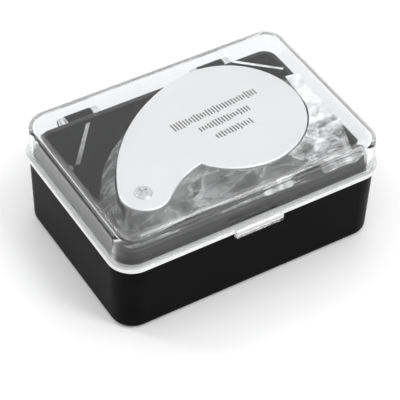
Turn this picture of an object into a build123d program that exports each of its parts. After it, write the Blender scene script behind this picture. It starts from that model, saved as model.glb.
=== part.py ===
"""A pocket jeweller's loupe with a swing-out lens, lying in its hinged storage case.

Millimetres, +Z up. The origin is the centre of the case's underside, +X runs along the case's long
side towards the right end and -Y faces the catch. The loupe lies on top of its bunched poly bag, and
its own frame starts at its pivot, with the first axis pointing at the middle of the lens.
"""

import os
from math import asin, atan2, cos, degrees, hypot, radians, sin, sqrt

from build123d import *

os.makedirs("parts", exist_ok=True)


def finish(builder, name):
    """Label a finished piece and write it to its own file."""
    builder.part.label = name
    export_step(builder.part, f"parts/{name}.step")


# ---------------------------------------------------------------- case base
case_corner = 6.7
case_foot_fillet = 1.6
case_draft = 1.5  # the walls lean in towards the floor, in degrees
case_floor = 1.8
ledge_height = 21.5  # where the lid's rim comes to rest
tongue_height = 4.9  # the rim that stands up inside the lid
tongue_inset = 2.9
tongue_wall = 1.2
tongue_fillet = 0.3
lid_seat_gap = 0.2  # between the ledge and the lid
end_room = 4.75  # from the loupe to each end of the case's mouth
front_room = 5.35  # in front of the loupe's head
back_room = 0.45  # behind it

# ---------------------------------------------------------------- hinge
hinge_spacing = 41.0  # between the middles of the two lugs
lug_width = 7.4
lug_radius = 2.0
lug_back = 2.9  # from the case's rear wall to the hinge axis
hinge_drop = 0.5  # from the ledge down to the hinge axis
web_gap = 0.3  # from the lug's web up to the lid
hinge_pin_radius = 1.0
hinge_pin_length = 2.4
hinge_clearance = 0.06
ear_gap = 0.3
ear_wall = 1.6
ear_radius = 1.9

# ---------------------------------------------------------------- lid
lid_height = 11.4
lid_wall = 1.6
lid_top_wall = 1.6
lid_inset = 0.3  # how far the lid's wall stands inside the case's wall
lid_top_fillet = 2.6
lid_corner = 5.8
flange_out = 0.9
flange_height = 1.3
flange_fillet = 0.4
tab_width = 13.8
tab_out = 1.1  # beyond the flange
tab_drop = 1.3  # below the lid's rim
tab_gap = 0.3  # in front of the case's wall
tab_fillet = 0.45

# ---------------------------------------------------------------- loupe covers
loupe_lid_gap = 1.5  # air between the loupe's top cover and the lid
plate = 1.2
plate_fillet = 0.4
spine = 1.2  # the wall along the loupe's closed edge
loupe_turn = 22.3
tail_radius = 6.7
tail_shift = 0.8
outer_arc = 50.0  # radius of the long closed edge
neck_low = 4.9  # how far below the axis the mouth's corner lies
neck_rise = 1.0  # how hollow the neck's edge is
neck_start = -70.0  # where the neck leaves the tail
mouth_angle = -2.0  # the spine ends here, seen from the pivot
head_front_angle = -60.0  # a point on the head's round front edge
spine_tail_angle = 95.0  # and here, seen from the middle of the tail
cover_screw_radius = 0.5
cover_screw_head = 0.9
cover_screw_head_height = 0.5
cover_screw_length = 5.0
cover_slot_width = 0.22
cover_boss_radius = 1.1
cover_boss_inset = 1.5  # from the loupe's edge
head_boss_angles = (8.0, 75.0)  # seen from the middle of the lens
back_boss_angle = 112.0  # seen from the middle of the long edge's arc
thread_clearance = 0.05

# ---------------------------------------------------------------- pivot
post_radius = 1.6
post_head_radius = 3.0
post_head_height = 0.6
post_slot_width = 0.8
post_slot_depth = 0.35
pivot_screw_radius = 0.85
pivot_screw_head = 2.3
pivot_screw_head_height = 0.7
pivot_screw_sink = 0.3
pivot_screw_length = 6.0
cross_width = 0.6
cross_length = 2.7
cross_depth = 0.4
seat_washer_radius = 2.75
seat_washer_height = 0.22
friction_washer_radius = 3.9
friction_washer_height = 0.3
running_clearance = 0.05

# ---------------------------------------------------------------- lens holder
holder_gap = 0.4  # to each cover
ring_air = 0.3  # round the ring, at the cover bosses
ring_web = 0.52  # between the lens and the light's pocket
ring_skin = 0.5  # outside the light's pocket
boss_radius = 4.2
lens_radius = 12.5
lens_clearance = 0.08
lip_width = 0.9
lip_height = 1.5
lens_edge = 1.6
lens_rim = 1.6  # flat band outside each curved face
lens_sag = 1.3
spacer_wall = 1.0
retaining_height = 1.6
retaining_wall = 1.5
retaining_slot = 1.2
retaining_slot_depth = 0.7
retaining_sink = 0.3
stack_gap = 0.06  # between stacked pieces

# ---------------------------------------------------------------- batteries
well_along = 9.8
well_across = 4.2
cell_radius = 5.8
cell_height = 3.05
cell_rim = 0.5
cell_cap_height = 0.5
cell_count = 3
cell_clearance = 0.3
well_wall = 0.9
well_roof = 1.2
cap_lip = 0.8  # how far the cap is wider than the cells' well
cap_height = 1.35
cap_recess = 0.2
cap_seat_gap = 0.05
coin_slot_width = 1.4
coin_slot_depth = 0.7

# ---------------------------------------------------------------- light
led_radius = 1.5
led_flange = 1.75
led_flange_height = 0.8
led_body = 3.2
led_clearance = 0.12
led_angles = {"led_left": 163.0, "led_right": 199.0}
lead_radius = 0.25
lead_pitch = 1.27
lead_length = 0.6
pocket_margin = 0.05  # round the leds' flanges
pocket_end = 8.0  # past the leds, in degrees
board_gap = 0.25
board_thickness = 0.8
board_play = 1.0  # at each end, in degrees
lamp_cover_height = 1.2
lamp_cover_gap = 0.1
lamp_cover_play = 0.5  # at each end, in degrees
leaf_thickness = 0.3
leaf_width = 2.0
leaf_offset = 2.2  # each leaf to its own side of the arm's middle
leaf_gap = 0.25
leaf_room = 0.72  # over the top cell
arm_spare = 2.7  # of the arm, between the battery well and the light

# ---------------------------------------------------------------- light switch
switch_back = 20.8  # from the middle of the lens
switch_drop = 8.2  # below the loupe's top
switch_length = 5.6
switch_height = 4.6
switch_depth = 2.5
switch_fit = 0.1
switch_wall = 0.8
switch_travel = 2.0
knob_stem = 1.5
knob_length = 2.6
knob_height = 3.0
knob_out = 0.9
knob_gap = 0.15
knob_groove = 0.35
knob_grooves = 3

# ---------------------------------------------------------------- poly bag
bag_clearance = 0.35
bag_reach = 4.4  # how far the film stands out round the loupe's closed edge
bag_wrap_top = 24.0
bag_wrap_angles = (-150.0, 60.0)  # seen from the middle of the tail
bag_bunch_top = 28.4
bag_swing_turn = -15.0  # the lens holder's turn as it comes clear of the bunched film
bag_swing_gap = 0.8

# ---------------------------------------------------------------- what follows: the loupe's plan
well_radius = cell_radius + cell_clearance
cap_seat_radius = well_radius + cap_lip
well_boss_radius = cap_seat_radius + well_wall
well_centre = (well_along, well_across)
pocket_inner = lens_radius + lens_clearance + ring_web
led_reach = pocket_inner + pocket_margin + led_flange  # from the middle of the lens
pocket_outer = led_reach + led_flange + pocket_margin
ring_radius = pocket_outer + ring_skin
head_radius = ring_radius + ring_air + cover_boss_radius + cover_boss_inset
head_reach = well_along + well_boss_radius + arm_spare + pocket_outer  # pivot to the middle of the lens
switch_middle = head_reach - switch_back
tail_centre = (tail_shift, 0.0)
head_centre = (head_reach, 0.0)

# ---------------------------------------------------------------- what follows: the case's plan
turn_cos = cos(radians(loupe_turn))
turn_sin = sin(radians(loupe_turn))
loupe_length = tail_radius + (head_reach - tail_shift) * turn_cos + head_radius
mouth_length = loupe_length + 2 * end_room
mouth_width = front_room + 2 * head_radius + back_room
mouth_corner = case_corner - tongue_inset - tongue_wall
case_length = mouth_length + 2 * (tongue_inset + tongue_wall)
case_width = mouth_width + 2 * (tongue_inset + tongue_wall)
lid_length = case_length - 2 * lid_inset
lid_width = case_width - 2 * lid_inset
flange_y = lid_width / 2 + flange_out
hinge_y = case_width / 2 + lug_back
pivot_x = tail_radius - tail_shift * turn_cos - loupe_length / 2
pivot_y = mouth_width / 2 - back_room - head_radius - head_reach * turn_sin

# ---------------------------------------------------------------- what follows: levels
stack_height = cell_count * (cell_height + stack_gap)
holder_height = cap_recess + cap_height + stack_height + leaf_room + well_roof
tongue_top = ledge_height + tongue_height
hinge_z = ledge_height - hinge_drop
lid_bottom = ledge_height + lid_seat_gap
lid_top = lid_bottom + lid_height
lid_underside = lid_top - lid_top_wall
loupe_top = lid_underside - loupe_lid_gap
cover_roof = loupe_top - plate  # inner face of the top cover
holder_top = cover_roof - holder_gap
holder_bottom = holder_top - holder_height
cover_floor = holder_bottom - holder_gap  # inner face of the bottom cover
loupe_bottom = cover_floor - plate
switch_level = loupe_top - switch_drop

loupe_frame = Plane(
    origin=(pivot_x, pivot_y, 0),
    x_dir=(turn_cos, turn_sin, 0),
    z_dir=(0, 0, 1),
)


def loupe_level(height):
    """The loupe's own plane at a height above the table."""
    return loupe_frame.offset(height)


def loupe_upright(point):
    """An upright plane through a point of the loupe, its second axis pointing up."""
    return Plane(
        origin=loupe_frame.from_local_coords((point[0], point[1], 0)),
        x_dir=loupe_frame.x_dir,
        z_dir=-loupe_frame.y_dir,
    )


def upright_axis(point):
    """The vertical axis through a point of the loupe."""
    return Axis(loupe_frame.from_local_coords((point[0], point[1], 0)), (0, 0, 1))


def polar(centre, reach, angle):
    """The point at this reach and angle, in degrees, from a centre."""
    return (centre[0] + reach * cos(radians(angle)), centre[1] + reach * sin(radians(angle)))


def outer_tangent(first, first_radius, second, second_radius):
    """Where a line that lies on two circles, to the left of the way between them, touches each."""
    way = degrees(atan2(second[1] - first[1], second[0] - first[0]))
    apart = hypot(second[0] - first[0], second[1] - first[1])
    side = way + 90.0 + degrees(asin((second_radius - first_radius) / apart))
    return polar(first, first_radius, side), polar(second, second_radius, side)


def outer_arc_centre():
    """The middle of the long edge's arc, which holds the tail's and the head's circles inside it."""
    apart = head_reach - tail_shift
    to_tail = outer_arc - tail_radius
    to_head = outer_arc - head_radius
    along = (to_tail**2 - to_head**2 + apart**2) / (2 * apart)
    return (tail_shift + along, -sqrt(to_tail**2 - along**2))


def angle_from(centre, point):
    """The direction of a point seen from a centre, in degrees."""
    return degrees(atan2(point[1] - centre[1], point[0] - centre[0]))


def comma(grow=0.0):
    """The loupe's comma outline, grown or drawn in all round."""
    back = outer_arc_centre()
    head_side = angle_from(back, head_centre)
    tail_side = angle_from(back, tail_centre)
    corner = polar(head_centre, head_radius, degrees(asin(neck_low / head_radius)) - 180.0)
    neck_end = polar(tail_centre, tail_radius, neck_start)
    neck_middle = ((corner[0] + neck_end[0]) / 2, (corner[1] + neck_end[1]) / 2 + neck_rise)
    with BuildSketch() as outline:
        with BuildLine():
            ThreePointArc(
                corner,
                polar(head_centre, head_radius, head_front_angle),
                polar(head_centre, head_radius, head_side),
            )
            ThreePointArc(
                polar(back, outer_arc, head_side),
                polar(back, outer_arc, (head_side + tail_side) / 2),
                polar(back, outer_arc, tail_side),
            )
            ThreePointArc(
                polar(tail_centre, tail_radius, tail_side),
                (tail_shift - tail_radius, 0.0),
                neck_end,
            )
            ThreePointArc(neck_end, neck_middle, corner)
        make_face()
        if grow:
            offset(amount=grow, kind=Kind.INTERSECTION, mode=Mode.REPLACE)
    return outline.sketch


def ring_sector(inner, outer, first, last):
    """The part of a flat ring round the lens between two angles, as a sketch."""
    middle = (first + last) / 2
    with BuildSketch() as sector:
        with BuildLine():
            ThreePointArc(*(polar(head_centre, outer, angle) for angle in (first, middle, last)))
            Line(polar(head_centre, outer, last), polar(head_centre, inner, last))
            ThreePointArc(*(polar(head_centre, inner, angle) for angle in (last, middle, first)))
            Line(polar(head_centre, inner, first), polar(head_centre, outer, first))
        make_face()
    return sector.sketch


comma_edge = comma()
comma_inside = comma(-spine)
cover_bosses = [polar(head_centre, head_radius - cover_boss_inset, angle) for angle in head_boss_angles]
cover_bosses.append(polar(outer_arc_centre(), outer_arc - cover_boss_inset, back_boss_angle))
far = 3 * head_reach  # past every edge of the loupe and the case

# ================================================================ case base
with BuildPart() as case_base:
    with BuildSketch(Plane.XY.offset(ledge_height)):
        RectangleRounded(case_length, case_width, case_corner)
    extrude(amount=-ledge_height, taper=case_draft)
    fillet(case_base.edges().group_by(Axis.Z)[0], case_foot_fillet)
    with BuildSketch(Plane.XY.offset(ledge_height)):
        RectangleRounded(
            case_length - 2 * tongue_inset, case_width - 2 * tongue_inset, case_corner - tongue_inset
        )
    extrude(amount=tongue_height)
    with BuildSketch(Plane.XY.offset(case_floor)):
        RectangleRounded(mouth_length, mouth_width, mouth_corner)
    extrude(amount=tongue_top - case_floor, mode=Mode.SUBTRACT)
    fillet(case_base.edges().group_by(Axis.Z)[-1], tongue_fillet)
    web_top = lid_bottom - web_gap
    web_bottom = hinge_z - lug_radius
    web_reach = lug_back + tongue_inset / 2
    for side in (-1, 1):
        lug_plane = Plane.YZ.offset(side * hinge_spacing / 2 - lug_width / 2)
        with BuildSketch(lug_plane):
            with Locations((hinge_y, hinge_z)):
                Circle(lug_radius)
            with Locations((hinge_y, web_bottom)):
                Rectangle(web_reach, web_top - web_bottom, align=(Align.MAX, Align.MIN))
        extrude(amount=lug_width)
        with BuildSketch(lug_plane):
            with Locations((hinge_y, hinge_z)):
                Circle(hinge_pin_radius + hinge_clearance)
        extrude(amount=lug_width, mode=Mode.SUBTRACT)
finish(case_base, "case_base")

# ================================================================ case lid
with BuildPart() as lid_hollow:
    with BuildSketch(Plane.XY.offset(lid_bottom)):
        RectangleRounded(lid_length - 2 * lid_wall, lid_width - 2 * lid_wall, lid_corner - lid_wall)
    extrude(amount=lid_underside - lid_bottom)
    fillet(lid_hollow.edges().group_by(Axis.Z)[-1], lid_top_fillet - lid_top_wall)

with BuildPart() as lid_flange:
    with BuildSketch(Plane.XY.offset(lid_bottom)):
        RectangleRounded(
            lid_length + 2 * flange_out, lid_width + 2 * flange_out, lid_corner + flange_out
        )
    extrude(amount=flange_height)
    fillet(lid_flange.edges().group_by(Axis.Z)[-1], flange_fillet)

with BuildPart() as case_lid:
    with BuildSketch(Plane.XY.offset(lid_bottom)):
        RectangleRounded(lid_length, lid_width, lid_corner)
    extrude(amount=lid_height)
    fillet(case_lid.edges().group_by(Axis.Z)[-1], lid_top_fillet)
    add(lid_flange.part)
    tab_back = case_width / 2 + tab_gap
    tab_front = flange_y + tab_out
    with BuildSketch(Plane.XY.offset(lid_bottom - tab_drop)):
        with Locations((0, -tab_back)):
            Rectangle(tab_width, tab_front - tab_back, align=(Align.CENTER, Align.MAX))
    extrude(amount=tab_drop + flange_height)
    fillet(case_lid.edges().filter_by(Axis.X).group_by(Axis.Y)[0], tab_fillet)
    for side in (-1, 1):
        lug_middle = side * hinge_spacing / 2
        for ear_side in (-1, 1):
            ear_near = lug_middle + ear_side * (lug_width / 2 + ear_gap)
            ear_plane = Plane.YZ.offset(min(ear_near, ear_near + ear_side * ear_wall))
            with BuildSketch(ear_plane):
                with Locations((hinge_y, hinge_z)):
                    Circle(ear_radius)
                with Locations((hinge_y, lid_bottom)):
                    Rectangle(
                        hinge_y - lid_width / 2 + lid_wall / 2,
                        hinge_z + ear_radius - lid_bottom,
                        align=(Align.MAX, Align.MIN),
                    )
            extrude(amount=ear_wall)
            with BuildSketch(Plane.YZ.offset(ear_near)):
                with Locations((hinge_y, hinge_z)):
                    Circle(hinge_pin_radius)
            extrude(amount=-ear_side * (hinge_pin_length + ear_gap))
    add(lid_hollow.part, mode=Mode.SUBTRACT)
finish(case_lid, "case_lid")

# ================================================================ loupe covers
with BuildPart() as top_cover:
    with BuildSketch(loupe_level(cover_roof)):
        add(comma_edge)
    extrude(amount=plate)
    fillet(top_cover.edges().group_by(Axis.Z)[-1], plate_fillet)
    with BuildSketch(loupe_level(cover_floor)):
        add(comma_edge)
        add(comma_inside, mode=Mode.SUBTRACT)
        Polygon(
            tail_centre,
            polar(tail_centre, far, spine_tail_angle),
            (far, far),
            polar((0, 0), far, mouth_angle),
            (head_reach, 0),
            align=None,
            mode=Mode.INTERSECT,
        )
        with Locations(*cover_bosses):
            Circle(cover_boss_radius)
    extrude(amount=cover_roof - cover_floor)
    with BuildSketch(loupe_level(cover_floor)):
        with Locations(*cover_bosses):
            Circle(cover_screw_radius + thread_clearance)
    extrude(amount=cover_screw_length, mode=Mode.SUBTRACT)
    with BuildSketch(loupe_level(loupe_top)):
        Circle(pivot_screw_head + thread_clearance)
    extrude(amount=-pivot_screw_sink, mode=Mode.SUBTRACT)
    with BuildSketch(loupe_level(loupe_top)):
        Circle(pivot_screw_radius + thread_clearance)
    extrude(amount=-plate, mode=Mode.SUBTRACT)
finish(top_cover, "top_cover")

with BuildPart() as bottom_cover:
    with BuildSketch(loupe_level(loupe_bottom)):
        add(comma_edge)
    extrude(amount=plate)
    fillet(bottom_cover.edges().group_by(Axis.Z)[0], plate_fillet)
    with BuildSketch(loupe_level(loupe_bottom)):
        with Locations(*cover_bosses):
            Circle(cover_screw_head + thread_clearance)
    extrude(amount=cover_screw_head_height, mode=Mode.SUBTRACT)
    with BuildSketch(loupe_level(loupe_bottom)):
        Circle(post_head_radius + thread_clearance)
    extrude(amount=post_head_height, mode=Mode.SUBTRACT)
    with BuildSketch(loupe_level(loupe_bottom)):
        Circle(post_radius + thread_clearance)
        with Locations(*cover_bosses):
            Circle(cover_screw_radius + thread_clearance)
    extrude(amount=plate, mode=Mode.SUBTRACT)
finish(bottom_cover, "bottom_cover")

with BuildPart() as cover_screws:
    with BuildSketch(loupe_level(loupe_bottom)):
        with Locations(*cover_bosses):
            Circle(cover_screw_head)
    extrude(amount=cover_screw_head_height)
    with BuildSketch(loupe_level(loupe_bottom)):
        with Locations(*cover_bosses):
            Circle(cover_screw_radius)
    extrude(amount=cover_screw_length)
    with BuildSketch(loupe_level(loupe_bottom)):
        for spot in cover_bosses:
            with Locations(spot):
                Rectangle(2 * cover_screw_head, cover_slot_width)
    extrude(amount=cover_screw_head_height / 2, mode=Mode.SUBTRACT)
finish(cover_screws, "cover_screws")

# ================================================================ pivot
with BuildPart() as pivot_post:
    with BuildSketch(loupe_level(loupe_bottom)):
        Circle(post_head_radius)
    extrude(amount=post_head_height)
    with BuildSketch(loupe_level(loupe_bottom)):
        Circle(post_radius)
    extrude(amount=cover_roof - loupe_bottom)
    with BuildSketch(loupe_level(cover_roof)):
        Circle(pivot_screw_radius + thread_clearance)
    extrude(amount=-pivot_screw_length, mode=Mode.SUBTRACT)
    with BuildSketch(loupe_level(loupe_bottom)):
        Rectangle(2 * post_head_radius, post_slot_width)
    extrude(amount=post_slot_depth, mode=Mode.SUBTRACT)
finish(pivot_post, "pivot_post")

screw_seat = loupe_top - pivot_screw_sink
with BuildPart() as pivot_screw:
    with BuildSketch(loupe_level(screw_seat)):
        Circle(pivot_screw_head)
    extrude(amount=pivot_screw_head_height)
    fillet(pivot_screw.edges().group_by(Axis.Z)[-1], pivot_screw_head_height / 3)
    with BuildSketch(loupe_level(screw_seat)):
        Circle(pivot_screw_radius)
    extrude(amount=-pivot_screw_length)
    with BuildSketch(loupe_level(screw_seat + pivot_screw_head_height)):
        Rectangle(cross_length, cross_width)
        Rectangle(cross_width, cross_length)
    extrude(amount=-cross_depth, mode=Mode.SUBTRACT)
finish(pivot_screw, "pivot_screw")

washers = {
    "seat_washer": (cover_floor, seat_washer_radius, seat_washer_height),
    "friction_washer": (cover_roof - friction_washer_height, friction_washer_radius, friction_washer_height),
}
for name, (level, radius, height) in washers.items():
    with BuildPart() as washer:
        with BuildSketch(loupe_level(level)):
            Circle(radius)
            Circle(post_radius + thread_clearance, mode=Mode.SUBTRACT)
        extrude(amount=height)
    finish(washer, name)

# ================================================================ lens holder
well_top = holder_top - well_roof
cap_bottom = holder_bottom + cap_recess
cap_top = cap_bottom + cap_height
pocket_first = min(led_angles.values()) - pocket_end
pocket_last = max(led_angles.values()) + pocket_end
pocket_floor = holder_bottom + stack_gap + led_radius + led_body
arm_angle = angle_from(well_centre, head_centre)
arm_length = hypot(head_centre[0] - well_centre[0], head_centre[1] - well_centre[1])
leaf_end = arm_length - led_reach
positive_level = well_top - leaf_gap - leaf_thickness
negative_level = positive_level - cell_height + leaf_thickness
groove_start = well_radius - leaf_gap


def along_arm(reach, across):
    """A place on the way from the batteries to the lens, turned along it."""
    spot = polar(polar(well_centre, reach, arm_angle), across, arm_angle + 90.0)
    return Location((spot[0], spot[1], 0), (0, 0, arm_angle))


with BuildPart() as lens_holder:
    left_tangent = outer_tangent((0, 0), boss_radius, well_centre, well_boss_radius)
    upper_tangent = outer_tangent(well_centre, well_boss_radius, head_centre, ring_radius)
    with BuildSketch(loupe_level(holder_bottom)):
        Circle(boss_radius)
        with Locations(well_centre):
            Circle(well_boss_radius)
        with Locations(head_centre):
            Circle(ring_radius)
        Polygon(
            (0, -boss_radius),
            (head_reach, -boss_radius),
            upper_tangent[1],
            upper_tangent[0],
            left_tangent[1],
            left_tangent[0],
            align=None,
        )
    extrude(amount=holder_top - holder_bottom)
    with BuildSketch(loupe_level(holder_bottom)):
        Circle(post_radius + running_clearance)
        with Locations(head_centre):
            Circle(lens_radius - lip_width)
    extrude(amount=holder_top - holder_bottom, mode=Mode.SUBTRACT)
    with BuildSketch(loupe_level(holder_bottom + lip_height)):
        with Locations(head_centre):
            Circle(lens_radius + lens_clearance)
    extrude(amount=holder_top - holder_bottom - lip_height, mode=Mode.SUBTRACT)
    with BuildSketch(loupe_level(holder_bottom)):
        with Locations(well_centre):
            Circle(well_radius)
    extrude(amount=well_top - holder_bottom, mode=Mode.SUBTRACT)
    with BuildSketch(loupe_level(holder_bottom)):
        with Locations(well_centre):
            Circle(cap_seat_radius + running_clearance)
    extrude(amount=cap_top + cap_seat_gap - holder_bottom, mode=Mode.SUBTRACT)
    with BuildSketch(loupe_level(pocket_floor)):
        add(ring_sector(pocket_inner, pocket_outer, pocket_first, pocket_last))
    extrude(amount=holder_top - pocket_floor, mode=Mode.SUBTRACT)
    with BuildSketch(loupe_level(holder_bottom)):
        for angle in led_angles.values():
            with Locations(polar(head_centre, led_reach, angle)):
                Circle(led_radius + led_clearance)
    extrude(amount=pocket_floor - holder_bottom, mode=Mode.SUBTRACT)
    with BuildSketch(loupe_level(positive_level - leaf_gap)):
        with Locations(along_arm(0, leaf_offset)):
            Rectangle(leaf_end, leaf_width + 2 * leaf_gap, align=(Align.MIN, Align.CENTER))
    extrude(amount=leaf_thickness + 2 * leaf_gap, mode=Mode.SUBTRACT)
    with BuildSketch(loupe_level(negative_level - leaf_gap)):
        with Locations(along_arm(0, -leaf_offset)):
            Rectangle(leaf_end, leaf_width + 2 * leaf_gap, align=(Align.MIN, Align.CENTER))
    extrude(amount=leaf_thickness + 2 * leaf_gap, mode=Mode.SUBTRACT)
    with BuildSketch(loupe_level(cap_top)):
        with Locations(along_arm(0, -leaf_offset)):
            Rectangle(
                groove_start + leaf_thickness + 3 * leaf_gap,
                leaf_width + 2 * leaf_gap,
                align=(Align.MIN, Align.CENTER),
            )
    extrude(amount=negative_level - cap_top, mode=Mode.SUBTRACT)
    with BuildSketch(loupe_level(switch_level - switch_height / 2)):
        with Locations((switch_middle, -boss_radius)):
            Rectangle(switch_length, 2 * switch_depth)
    extrude(amount=switch_height, mode=Mode.SUBTRACT)
finish(lens_holder, "lens_holder")

# ================================================================ lenses
retaining_top = holder_top - retaining_sink
upper_lens_top = retaining_top - retaining_height - stack_gap
lower_lens_bottom = holder_bottom + lip_height + stack_gap
lens_levels = {"lower_lens": lower_lens_bottom, "upper_lens": upper_lens_top - lens_edge}
lens_face = lens_radius - lens_rim
lens_curve = (lens_face**2 + lens_sag**2) / (2 * lens_sag)
for name, level in lens_levels.items():
    level_top = level + lens_edge
    with BuildPart() as lens:
        with BuildSketch(loupe_upright(head_centre)):
            with BuildLine():
                RadiusArc((0, level_top + lens_sag), (lens_face, level_top), lens_curve)
                Polyline(
                    (lens_face, level_top), (lens_radius, level_top), (lens_radius, level), (lens_face, level)
                )
                RadiusArc((lens_face, level), (0, level - lens_sag), lens_curve)
                Line((0, level - lens_sag), (0, level_top + lens_sag))
            make_face()
        revolve(axis=upright_axis(head_centre))
    finish(lens, name)

spacer_bottom = lower_lens_bottom + lens_edge + stack_gap
with BuildPart() as lens_spacer:
    with BuildSketch(loupe_level(spacer_bottom)):
        with Locations(head_centre):
            Circle(lens_radius)
            Circle(lens_radius - spacer_wall, mode=Mode.SUBTRACT)
    extrude(amount=upper_lens_top - lens_edge - stack_gap - spacer_bottom)
finish(lens_spacer, "lens_spacer")

with BuildPart() as retaining_ring:
    with BuildSketch(loupe_level(retaining_top - retaining_height)):
        with Locations(head_centre):
            Circle(lens_radius)
            Circle(lens_radius - retaining_wall, mode=Mode.SUBTRACT)
    extrude(amount=retaining_height)
    with BuildSketch(loupe_level(retaining_top)):
        with Locations(head_centre):
            Rectangle(2 * lens_radius, retaining_slot)
    extrude(amount=-retaining_slot_depth, mode=Mode.SUBTRACT)
finish(retaining_ring, "retaining_ring")

# ================================================================ batteries
for index in range(cell_count):
    level = cap_top + stack_gap + index * (cell_height + stack_gap)
    with BuildPart() as cell:
        with BuildSketch(loupe_level(level)):
            with Locations(well_centre):
                Circle(cell_radius - cell_rim)
        extrude(amount=cell_cap_height)
        with BuildSketch(loupe_level(level + cell_cap_height)):
            with Locations(well_centre):
                Circle(cell_radius)
        extrude(amount=cell_height - cell_cap_height)
    finish(cell, f"battery_{index + 1}")

with BuildPart() as battery_cap:
    with BuildSketch(loupe_level(cap_bottom)):
        with Locations(well_centre):
            Circle(cap_seat_radius)
    extrude(amount=cap_height)
    with BuildSketch(loupe_level(cap_bottom)):
        with Locations(well_centre):
            Rectangle(2 * well_radius, coin_slot_width)
    extrude(amount=coin_slot_depth, mode=Mode.SUBTRACT)
finish(battery_cap, "battery_cap")

# ================================================================ light
for name, angle in led_angles.items():
    led_spot = polar(head_centre, led_reach, angle)
    with BuildPart() as led:
        with BuildSketch(loupe_level(pocket_floor)):
            with Locations(led_spot):
                Circle(led_radius)
        extrude(amount=-led_body)
        with Locations(loupe_frame.from_local_coords((*led_spot, pocket_floor - led_body))):
            Sphere(led_radius)
        with BuildSketch(loupe_level(pocket_floor)):
            with Locations(led_spot):
                Circle(led_flange)
        extrude(amount=led_flange_height)
        with BuildSketch(loupe_level(pocket_floor + led_flange_height)):
            for side in (-1, 1):
                with Locations(polar(led_spot, side * lead_pitch / 2, angle + 90.0)):
                    Circle(lead_radius)
        extrude(amount=lead_length)
    finish(led, name)

board_bottom = pocket_floor + led_flange_height + lead_length
board_top = board_bottom + board_thickness
with BuildPart() as led_board:
    with BuildSketch(loupe_level(board_bottom)):
        add(
            ring_sector(
                pocket_inner + board_gap,
                pocket_outer - board_gap,
                pocket_first + board_play,
                pocket_last - board_play,
            )
        )
    extrude(amount=board_thickness)
finish(led_board, "led_board")

with BuildPart() as lamp_cover:
    with BuildSketch(loupe_level(holder_top - lamp_cover_height)):
        add(
            ring_sector(
                pocket_inner + lamp_cover_gap,
                pocket_outer - lamp_cover_gap,
                pocket_first + lamp_cover_play,
                pocket_last - lamp_cover_play,
            )
        )
    extrude(amount=lamp_cover_height)
finish(lamp_cover, "lamp_cover")

with BuildPart() as positive_contact:
    with BuildSketch(loupe_level(positive_level)):
        with Locations(along_arm(0, leaf_offset)):
            Rectangle(leaf_end, leaf_width, align=(Align.MIN, Align.CENTER))
    extrude(amount=leaf_thickness)
    with BuildSketch(loupe_level(board_top)):
        with Locations(along_arm(leaf_end, leaf_offset)):
            Rectangle(leaf_thickness, leaf_width, align=(Align.MAX, Align.CENTER))
    extrude(amount=positive_level - board_top)
finish(positive_contact, "positive_contact")

with BuildPart() as negative_contact:
    with BuildSketch(loupe_level(negative_level)):
        with Locations(along_arm(groove_start + 2 * leaf_gap, -leaf_offset)):
            Rectangle(
                leaf_end - groove_start - 2 * leaf_gap, leaf_width, align=(Align.MIN, Align.CENTER)
            )
    extrude(amount=leaf_thickness)
    with BuildSketch(loupe_level(board_top)):
        with Locations(along_arm(leaf_end, -leaf_offset)):
            Rectangle(leaf_thickness, leaf_width, align=(Align.MAX, Align.CENTER))
    extrude(amount=negative_level - board_top)
    with BuildSketch(loupe_level(cap_top + cap_seat_gap)):
        with Locations(along_arm(groove_start + 2 * leaf_gap, -leaf_offset)):
            Rectangle(leaf_thickness, leaf_width, align=(Align.MIN, Align.CENTER))
    extrude(amount=negative_level - cap_top - cap_seat_gap)
finish(negative_contact, "negative_contact")

# ================================================================ light switch
switch_face = -boss_radius
slot_length = knob_stem + switch_travel + 2 * switch_fit
with BuildPart() as switch_housing:
    with BuildSketch(loupe_level(switch_level - switch_height / 2 + switch_fit)):
        with Locations((switch_middle, switch_face)):
            Rectangle(
                switch_length - 2 * switch_fit, switch_depth - switch_fit, align=(Align.CENTER, Align.MIN)
            )
    extrude(amount=switch_height - 2 * switch_fit)
    with BuildSketch(loupe_level(switch_level - knob_stem / 2 - switch_fit)):
        with Locations((switch_middle, switch_face)):
            Rectangle(slot_length, 2 * (switch_depth - switch_fit - switch_wall))
    extrude(amount=knob_stem + 2 * switch_fit, mode=Mode.SUBTRACT)
finish(switch_housing, "switch_housing")

knob_middle = switch_middle - switch_travel / 2
knob_back = switch_face - knob_gap
with BuildPart() as switch_knob:
    with BuildSketch(loupe_level(switch_level - knob_height / 2)):
        with Locations((knob_middle, knob_back)):
            Rectangle(knob_length, knob_out, align=(Align.CENTER, Align.MAX))
        with GridLocations(knob_length / knob_grooves, 1, knob_grooves, 1):
            with Locations((knob_middle, knob_back - knob_out)):
                Circle(knob_groove / 2, mode=Mode.SUBTRACT)
    extrude(amount=knob_height)
    stem_reach = switch_depth - switch_wall - 2 * switch_fit + knob_gap
    with BuildSketch(loupe_level(switch_level - knob_stem / 2)):
        with Locations((knob_middle, knob_back)):
            Rectangle(knob_stem, stem_reach, align=(Align.CENTER, Align.MIN))
    extrude(amount=knob_stem)
finish(switch_knob, "switch_knob")

# ================================================================ poly bag
bag_length = mouth_length - 2 * bag_clearance
bag_width = mouth_width - 2 * bag_clearance
bag_bottom = case_floor + bag_clearance
bag_shelf = loupe_bottom - bag_clearance
bag_outside = comma(bag_reach)
bag_nest = comma(bag_clearance)

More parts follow.
